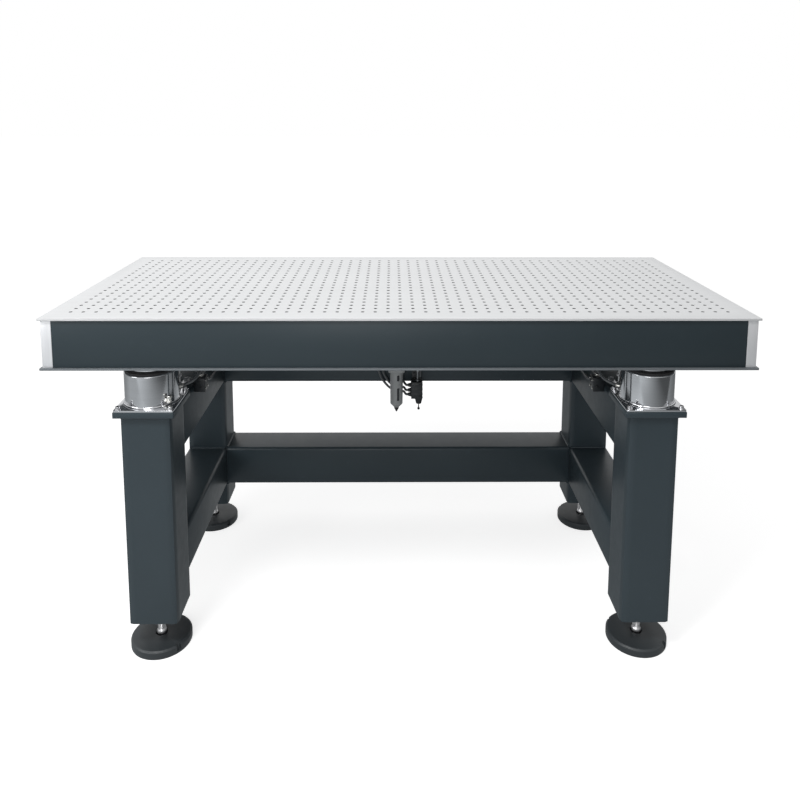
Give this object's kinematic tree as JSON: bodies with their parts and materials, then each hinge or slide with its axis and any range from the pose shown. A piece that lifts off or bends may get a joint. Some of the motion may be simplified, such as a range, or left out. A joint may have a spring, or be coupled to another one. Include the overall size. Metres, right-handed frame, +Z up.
{
  "type": "vibration isolation platform",
  "caption": "Perforated honeycomb table top floating on air isolators, on a welded frame of square tubes with levelling feet.",
  "frame": {"origin": "on the floor, under the middle of the table top", "axes": "+X along the long side of the top, -Y to the front, where there are no stretchers, +Z up"},
  "size_m": [1.39, 0.6, 0.718],
  "materials": {
    "top_skin": "pale satin stainless steel with fine grain, perforated",
    "bottom_skin": "grey steel sheet with a worn edge",
    "honeycomb_core": "plain foil",
    "side_panel": "charcoal satin sheet",
    "corner_post": "bright brushed stainless angle",
    "frame_paint": "charcoal fine-texture powder coat",
    "isolator_steel": "polished turned steel",
    "black_rubber": "matt black",
    "cast_foot": "black painted casting",
    "zinc_steel": "bright zinc plate",
    "valve_black": "black anodised block",
    "filter_grey": "grey metal bowl guard",
    "knob_black": "moulded knob",
    "air_hose": "grey air tube"
  },
  "bodies": {
    "frame": {"leg_front_left": "frame_paint", "leg_front_right": "frame_paint", "leg_rear_right": "frame_paint", "leg_rear_left": "frame_paint", "lower_side_rail_left": "frame_paint", "lower_side_rail_right": "frame_paint", "upper_side_rail_left": "frame_paint", "upper_side_rail_right": "frame_paint", "lower_rear_stretcher": "frame_paint", "upper_rear_stretcher": "frame_paint", "isolator_housing_front_left": "isolator_steel", "isolator_stop_ring_front_left": "black_rubber", "isolator_housing_front_right": "isolator_steel", "isolator_stop_ring_front_right": "black_rubber", "isolator_housing_rear_right": "isolator_steel", "isolator_stop_ring_rear_right": "black_rubber", "isolator_housing_rear_left": "isolator_steel", "isolator_stop_ring_rear_left": "black_rubber", "valve_body_front_left": "valve_black", "air_jumper_front_left": "air_hose", "air_hose_front_left": "air_hose", "air_hose_rear_left": "air_hose", "valve_body_front_right": "valve_black", "air_jumper_front_right": "air_hose", "air_hose_front_right": "air_hose", "air_hose_rear_right": "air_hose", "air_link_tube": "air_hose", "valve_body_rear": "valve_black", "filter_head": "filter_grey", "filter_bowl": "filter_grey"},
    "tabletop": {"top_skin": "top_skin", "bottom_skin": "bottom_skin", "honeycomb_core": "honeycomb_core", "side_panel_front": "side_panel", "side_panel_rear": "side_panel", "side_panel_left": "side_panel", "side_panel_right": "side_panel", "corner_post_front_left": "corner_post", "corner_post_front_right": "corner_post", "corner_post_rear_right": "corner_post", "corner_post_rear_left": "corner_post", "isolator_piston_front_left": "isolator_steel", "isolator_piston_front_right": "isolator_steel", "isolator_piston_rear_right": "isolator_steel", "isolator_piston_rear_left": "isolator_steel"},
    "foot_front_left": {"foot_disc_front_left": "cast_foot"},
    "stud_front_left": {"foot_stud_front_left": "zinc_steel"},
    "foot_front_right": {"foot_disc_front_right": "cast_foot"},
    "stud_front_right": {"foot_stud_front_right": "zinc_steel"},
    "foot_rear_right": {"foot_disc_rear_right": "cast_foot"},
    "stud_rear_right": {"foot_stud_rear_right": "zinc_steel"},
    "foot_rear_left": {"foot_disc_rear_left": "cast_foot"},
    "stud_rear_left": {"foot_stud_rear_left": "zinc_steel"},
    "valve_lever_left": {"valve_lever_front_left": "zinc_steel"},
    "valve_rod_left": {"valve_rod_front_left": "zinc_steel"},
    "valve_lever_right": {"valve_lever_front_right": "zinc_steel"},
    "valve_rod_right": {"valve_rod_front_right": "zinc_steel"},
    "valve_plunger": {"valve_plunger_rear": "zinc_steel"},
    "toggle": {"vent_toggle": "valve_black"},
    "knob": {"regulator_knob": "knob_black"}
  },
  "joints": [
    {"name": "top_float", "type": "slide", "parent": "frame", "child": "tabletop", "axis": [0, 0, 1], "range_m": [0, 0.006]},
    {"name": "foot_level_front_left", "type": "slide", "parent": "frame", "child": "foot_front_left", "axis": [0, 0, -1], "range_m": [0, 0.015]},
    {"name": "stud_turn_front_left", "type": "hinge", "parent": "foot_front_left", "child": "stud_front_left", "pos_m": [-0.503, -0.231, 0.05], "axis": [0, 0, -1], "range_deg": [0, 2701]},
    {"name": "foot_level_front_right", "type": "slide", "parent": "frame", "child": "foot_front_right", "axis": [0, 0, -1], "range_m": [0, 0.015]},
    {"name": "stud_turn_front_right", "type": "hinge", "parent": "foot_front_right", "child": "stud_front_right", "pos_m": [0.503, -0.231, 0.05], "axis": [0, 0, -1], "range_deg": [0, 2701]},
    {"name": "foot_level_rear_right", "type": "slide", "parent": "frame", "child": "foot_rear_right", "axis": [0, 0, -1], "range_m": [0, 0.015]},
    {"name": "stud_turn_rear_right", "type": "hinge", "parent": "foot_rear_right", "child": "stud_rear_right", "pos_m": [0.503, 0.231, 0.05], "axis": [0, 0, -1], "range_deg": [0, 2701]},
    {"name": "foot_level_rear_left", "type": "slide", "parent": "frame", "child": "foot_rear_left", "axis": [0, 0, -1], "range_m": [0, 0.015]},
    {"name": "stud_turn_rear_left", "type": "hinge", "parent": "foot_rear_left", "child": "stud_rear_left", "pos_m": [-0.503, 0.231, 0.05], "axis": [0, 0, -1], "range_deg": [0, 2701]},
    {"name": "valve_lever_tilt_left", "type": "hinge", "parent": "frame", "child": "valve_lever_left", "pos_m": [-0.472, -0.091, 0.5185], "axis": [-1, 0, 0], "range_deg": [0, 6]},
    {"name": "valve_rod_lift_left", "type": "slide", "parent": "frame", "child": "valve_rod_left", "axis": [0, 0, 1], "range_m": [0, 0.006]},
    {"name": "valve_lever_tilt_right", "type": "hinge", "parent": "frame", "child": "valve_lever_right", "pos_m": [0.472, -0.091, 0.5185], "axis": [-1, 0, 0], "range_deg": [0, 6]},
    {"name": "valve_rod_lift_right", "type": "slide", "parent": "frame", "child": "valve_rod_right", "axis": [0, 0, 1], "range_m": [0, 0.006]},
    {"name": "valve_plunger_lift", "type": "slide", "parent": "frame", "child": "valve_plunger", "axis": [0, 0, 1], "range_m": [0, 0.006]},
    {"name": "toggle_tip", "type": "hinge", "parent": "frame", "child": "toggle", "pos_m": [0.052, 0.15, 0.371], "axis": [0, 1, 0], "range_deg": [-12, 12]},
    {"name": "knob_turn", "type": "hinge", "parent": "frame", "child": "knob", "pos_m": [-0.005, 0.15, 0.505], "axis": [0, 0, 1], "range_deg": [-720, 720]}
  ],
  "couplings": [
    {"joint": "stud_turn_front_left", "follows": "foot_level_front_left", "rad_per_m": 3141.6},
    {"joint": "stud_turn_front_right", "follows": "foot_level_front_right", "rad_per_m": 3141.6},
    {"joint": "stud_turn_rear_right", "follows": "foot_level_rear_right", "rad_per_m": 3141.6},
    {"joint": "stud_turn_rear_left", "follows": "foot_level_rear_left", "rad_per_m": 3141.6},
    {"joint": "valve_lever_tilt_left", "follows": "top_float", "rad_per_m": 17.241},
    {"joint": "valve_rod_lift_left", "follows": "top_float", "ratio": 1},
    {"joint": "valve_lever_tilt_right", "follows": "top_float", "rad_per_m": 17.241},
    {"joint": "valve_rod_lift_right", "follows": "top_float", "ratio": 1},
    {"joint": "valve_plunger_lift", "follows": "top_float", "ratio": 1}
  ]
}
